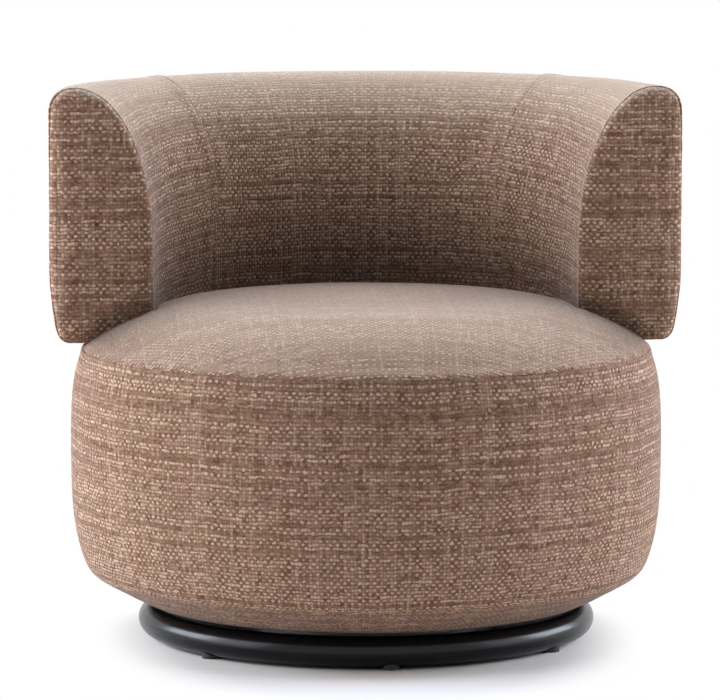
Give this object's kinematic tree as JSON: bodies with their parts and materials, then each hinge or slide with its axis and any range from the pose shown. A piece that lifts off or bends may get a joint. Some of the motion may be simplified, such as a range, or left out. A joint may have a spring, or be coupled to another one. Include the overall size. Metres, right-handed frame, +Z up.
{
  "type": "swivel armchair",
  "caption": "Round upholstered swivel armchair: a drum seat and a half-ring wrap-around back in woven fabric on a low black ring base.",
  "frame": {"origin": "on the floor, under the middle of the chair's outline seen from above; the swivel axis is 13.25 mm in front of it", "axes": "+X to the sitter's left, -Y the way the sitter faces, +Z up"},
  "size_m": [0.75, 0.724, 0.655],
  "materials": {
    "chair_fabric": "matte",
    "black_metal": "satin",
    "glide_plastic": "matte",
    "zinc_steel": "satin",
    "bearing_steel": "polished",
    "bush_bronze": "satin",
    "cage_plastic": "satin",
    "plywood": "matte",
    "foam": "matte",
    "webbing": "matte",
    "dust_cloth": "matte"
  },
  "bodies": {
    "base": {"base_ring": "black_metal", "base_plate": "black_metal", "floor_glides": "glide_plastic", "swivel_lower_plate": "zinc_steel", "lower_plate_bolts": "zinc_steel", "lower_plate_nuts": "zinc_steel", "pivot_bush": "bush_bronze"},
    "bearing": {"ball_cage": "cage_plastic", "bearing_balls": "bearing_steel"},
    "seat": {"swivel_upper_plate": "zinc_steel", "pivot_spindle": "zinc_steel", "pivot_washer": "zinc_steel", "pivot_nut": "zinc_steel", "upper_plate_screws": "zinc_steel", "upper_plate_tee_nuts": "zinc_steel", "bottom_board": "plywood", "underside_cover": "dust_cloth", "drum_ribs": "plywood", "drum_top_ring": "plywood", "drum_wall_panel": "plywood", "drum_padding": "foam", "drum_side_cover": "chair_fabric", "webbing_lengthwise": "webbing", "webbing_crosswise": "webbing", "seat_foam": "foam", "seat_top_cover": "chair_fabric", "back_posts": "plywood", "back_bolts": "zinc_steel", "back_nuts": "zinc_steel", "back_bottom_rail": "plywood", "back_top_rail": "plywood", "back_ribs": "plywood", "back_inner_panel": "plywood", "back_outer_panel": "plywood", "back_foam_centre": "foam", "back_foam_wing_left": "foam", "back_foam_wing_right": "foam", "back_outer_padding": "foam", "back_cover_centre": "chair_fabric", "back_cover_wing_left": "chair_fabric", "back_cover_wing_right": "chair_fabric", "back_cover_outer": "chair_fabric", "back_bottom_cover": "chair_fabric", "back_end_panel_left": "chair_fabric", "back_end_panel_right": "chair_fabric"}
  },
  "joints": [
    {"name": "seat_swivel", "type": "hinge", "parent": "base", "child": "seat", "pos_m": [0, -0.01325, 0.0315], "axis": [0, 0, 1], "continuous": true},
    {"name": "bearing_roll", "type": "hinge", "parent": "base", "child": "bearing", "pos_m": [0, -0.01325, 0.0315], "axis": [0, 0, 1], "continuous": true}
  ],
  "couplings": [
    {"joint": "bearing_roll", "follows": "seat_swivel", "ratio": 0.5}
  ]
}
